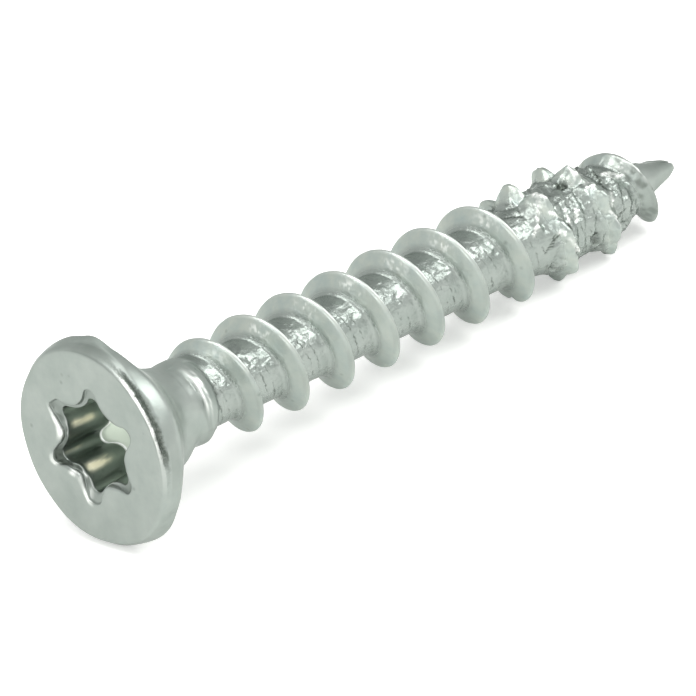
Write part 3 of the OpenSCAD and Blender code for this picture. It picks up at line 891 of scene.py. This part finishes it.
points, quads, triangles, marks = build_screw()
screw = make_mesh("screw_skin", to_frame(points), quads, triangles, marks)
screw.data.materials.append(zinc_plating())
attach(screw, "root")
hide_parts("screw")

# Camera: long lens, looking down on the head from the front left. Its directions are given
# along the screw's axis and towards the sides at 0 and 90 degrees.
LENS, SENSOR = 1650, 36
VIEW_WIDTH = 30.30
AIM = 14.644, -0.984, 0
LOOK = 0.588, 0, -0.809
RIGHT = 0.7274, -0.4376, 0.5287

AXIS = Vector((cos(TILT), 0, -sin(TILT)))
UPRIGHT = Vector((sin(TILT), 0, cos(TILT)))
ACROSS = Vector((0, 1, 0))
SIDE_0 = cos(ROLL) * ACROSS + sin(ROLL) * UPRIGHT
SIDE_90 = -sin(ROLL) * ACROSS + cos(ROLL) * UPRIGHT


def body_point(x, y, z):
    """A point of the screw's own axes, in the frame."""
    return Vector(to_frame(np.array([[x, y, z]]))[0])


def body_direction(along, toward_0, toward_90):
    """A direction in the screw's own axes, in the frame."""
    return along * AXIS + toward_0 * SIDE_0 + toward_90 * SIDE_90


right = body_direction(*RIGHT).normalized()
look = body_direction(*LOOK)
look = (look - look.dot(right) * right).normalized()
up = right.cross(look)
distance = VIEW_WIDTH * MM / SENSOR * LENS
camera_data = bpy.data.cameras.new("camera")
camera_data.lens = LENS
camera_data.sensor_width = SENSOR
camera_data.clip_start, camera_data.clip_end = 0.1, 10
camera = bpy.data.objects.new("camera", camera_data)
turned = Matrix((right, up, -look)).transposed().to_4x4()
camera.matrix_world = Matrix.Translation(body_point(*AIM) - look * distance) @ turned
bpy.context.collection.objects.link(camera)
bpy.context.scene.camera = camera

# Studio: pale floor, pale surround, soft lamps. Its sizes are in metres.
FLOOR_R, FLOOR_SIDES = 0.45, 64
# The place of the screw's axis that the lamps face, in millimetres as above
LAMP_AIM_X = 17
# Name, direction from the screw, distance, side of the square, brightness where 1 is white
LAMPS = [
    ("front", (0.42, -0.54, 0.72), 0.22, 0.13, 4.4),
    ("top", (-0.22, 0.04, 0.97), 0.25, 0.15, 3.4),
    ("over_left", (-0.75, -0.06, 0.66), 0.25, 0.055, 4.0),
    ("left", (-0.80, -0.48, 0.35), 0.25, 0.06, 5.0)]


def studio_floor():
    """A flat round floor with straight sides: a matt white card, lifted a little for the camera
    and for reflections, so that it shows nearly white and keeps the screw's shadow."""
    a = 2 * pi * np.arange(FLOOR_SIDES) / FLOOR_SIDES
    disc = np.stack([FLOOR_R * np.cos(a), FLOOR_R * np.sin(a), 0 * a], axis=1)
    mesh = bpy.data.meshes.new("floor")
    mesh.from_pydata(disc.tolist(), [], [list(range(FLOOR_SIDES))])
    floor = bpy.data.objects.new("floor", mesh)
    bpy.context.collection.objects.link(floor)
    material = bpy.data.materials.new("matt white card")
    material.use_nodes = True
    tree = material.node_tree
    tree.nodes.clear()
    path = add(tree, "ShaderNodeLightPath").outputs
    seen = path["Is Camera Ray"]
    for other in (path["Is Glossy Ray"], path["Is Transmission Ray"]):
        seen = add(tree, MATH, operation="ADD", i0=seen, i1=other).outputs[0]
    lift = add(tree, MATH, operation="MULTIPLY", i0=seen, i1=0.35).outputs[0]
    card = add(tree, "ShaderNodeBsdfDiffuse", Color=linear("#F4F4F2")).outputs[0]
    glow = add(tree, "ShaderNodeEmission", Color=linear("#FFFFFF"), Strength=lift).outputs[0]
    both = add(tree, "ShaderNodeAddShader", i0=card, i1=glow).outputs[0]
    add(tree, "ShaderNodeOutputMaterial", Surface=both)
    mesh.materials.append(material)


def surround():
    """A pale surround: white at and below the horizon, grey high up behind the screw towards its
    point, by three smooth steps multiplied, and white wherever the camera looks straight at it."""
    world = bpy.data.worlds.new("studio")
    bpy.context.scene.world = world
    world.use_nodes = True
    tree = world.node_tree
    tree.nodes.clear()
    direction = add(tree, "ShaderNodeTexCoord").outputs["Generated"]
    parts = add(tree, "ShaderNodeSeparateXYZ", Vector=direction).outputs
    share = 1.0
    for name, low, high, least in (("Z", 0.1, 0.5, 0.0), ("Y", -0.3, 0.35, 0.1), ("X", -0.2, 0.45, 0.3)):
        rise = add(tree, RANGE, interpolation_type="SMOOTHSTEP", Value=parts[name], i1=low, i2=high,
                   i3=least, i4=1.0).outputs[0]
        share = add(tree, MATH, operation="MULTIPLY", i0=share, i1=rise).outputs[0]
    colour = add(tree, MIX, data_type="RGBA", Factor=share, i6=linear("#FFFFFF"),
                 i7=linear("#747A77")).outputs[2]
    seen = add(tree, "ShaderNodeLightPath").outputs["Is Camera Ray"]
    colour = add(tree, MIX, data_type="RGBA", Factor=seen, i6=colour, i7=linear("#FFFFFF")).outputs[2]
    glow = add(tree, "ShaderNodeBackground", Color=colour, Strength=1.0).outputs[0]
    add(tree, "ShaderNodeOutputWorld", Surface=glow)


def soft_lamp(name, toward, away, side, strength):
    """A square soft box that faces the screw's middle. Its power is strength * pi * area."""
    data = bpy.data.lights.new(name, "AREA")
    data.size = side
    data.energy = strength * pi * side ** 2
    lamp = bpy.data.objects.new(name, data)
    direction = Vector(toward).normalized()
    lamp.location = body_point(LAMP_AIM_X, 0, 0) + direction * away
    lamp.rotation_mode = "QUATERNION"
    lamp.rotation_quaternion = direction.to_track_quat("Z", "Y")
    lamp.visible_camera = False
    bpy.context.collection.objects.link(lamp)


studio_floor()
surround()
for lamp in LAMPS:
    soft_lamp(*lamp)
bpy.context.scene.view_settings.view_transform = "Standard"
